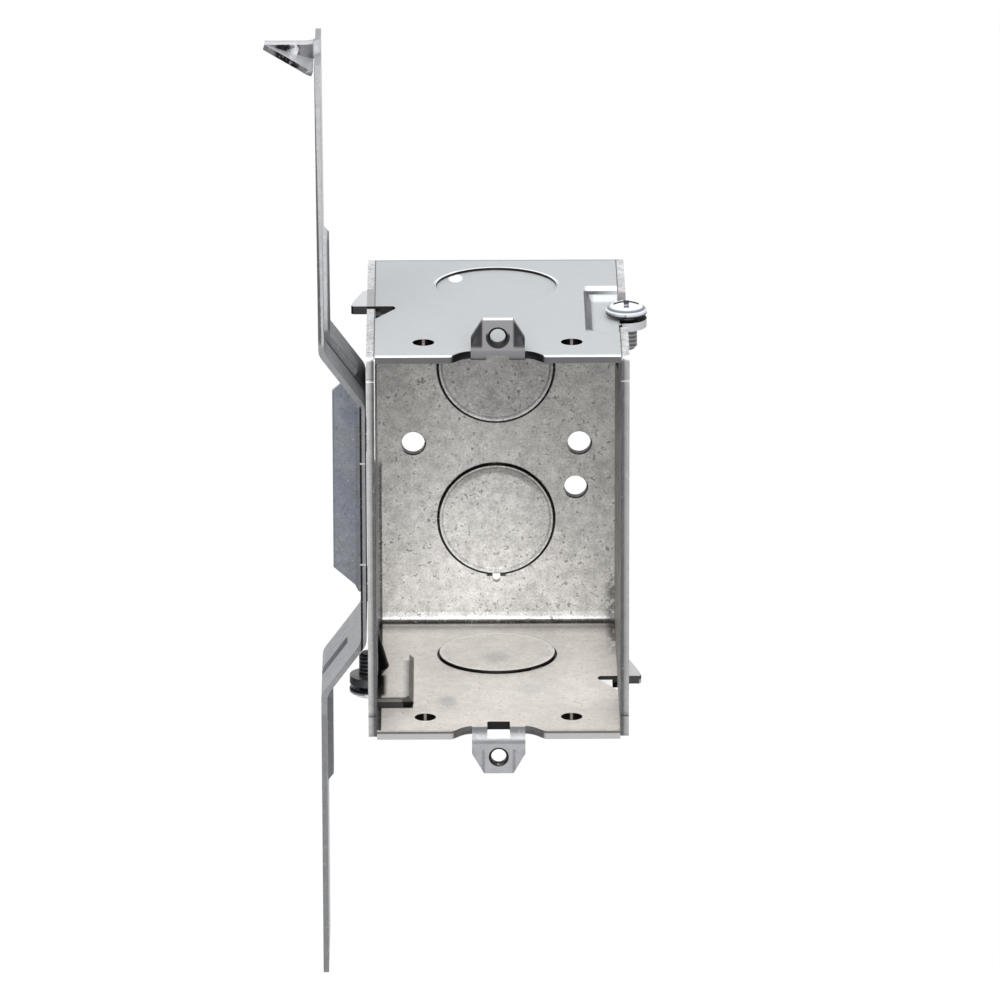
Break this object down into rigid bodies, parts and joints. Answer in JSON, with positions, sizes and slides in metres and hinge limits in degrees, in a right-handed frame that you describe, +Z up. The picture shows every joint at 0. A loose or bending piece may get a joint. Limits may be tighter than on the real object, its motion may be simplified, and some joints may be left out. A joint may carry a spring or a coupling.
{
  "type": "gangable switch box",
  "caption": "Sheet-steel switch box with device ears, round knockouts, screw-held loose side plates that let boxes be ganged, and a long ribbed stud bracket on the left.",
  "frame": {"origin": "midway between the two tapped device holes, on the front face of the ears", "axes": "+Z up along the long side of the box, +Y into the wall towards the back of the box, +X to the right seen from the front"},
  "size_m": [0.0722, 0.0635, 0.1808],
  "materials": {
    "shell_galvanized": "hot-dip galvanized, fine spangle, sheared edges",
    "right_plate_galvanized": "hot-dip galvanized, slightly streaked",
    "left_plate_galvanized": "hot-dip galvanized, slightly streaked",
    "bracket_galvanized": "hot-dip galvanized strap with scuffs",
    "right_screw_zinc": "bright zinc plated",
    "left_screw_zinc": "bright zinc plated"
  },
  "bodies": {
    "box": {"box_shell": "shell_galvanized", "right_side_plate": "right_plate_galvanized", "left_side_plate": "left_plate_galvanized", "mounting_bracket": "bracket_galvanized"},
    "right_screw": {"right_side_screw": "right_screw_zinc"},
    "left_screw": {"left_side_screw": "left_screw_zinc"}
  },
  "joints": [
    {"name": "right_screw_turn", "type": "hinge", "parent": "box", "child": "right_screw", "pos_m": [0.0245, 0.0283, 0.0357], "axis": [0, 0, 1], "continuous": true},
    {"name": "left_screw_turn", "type": "hinge", "parent": "box", "child": "left_screw", "pos_m": [-0.0245, 0.0283, -0.0357], "axis": [0, 0, -1], "continuous": true}
  ]
}
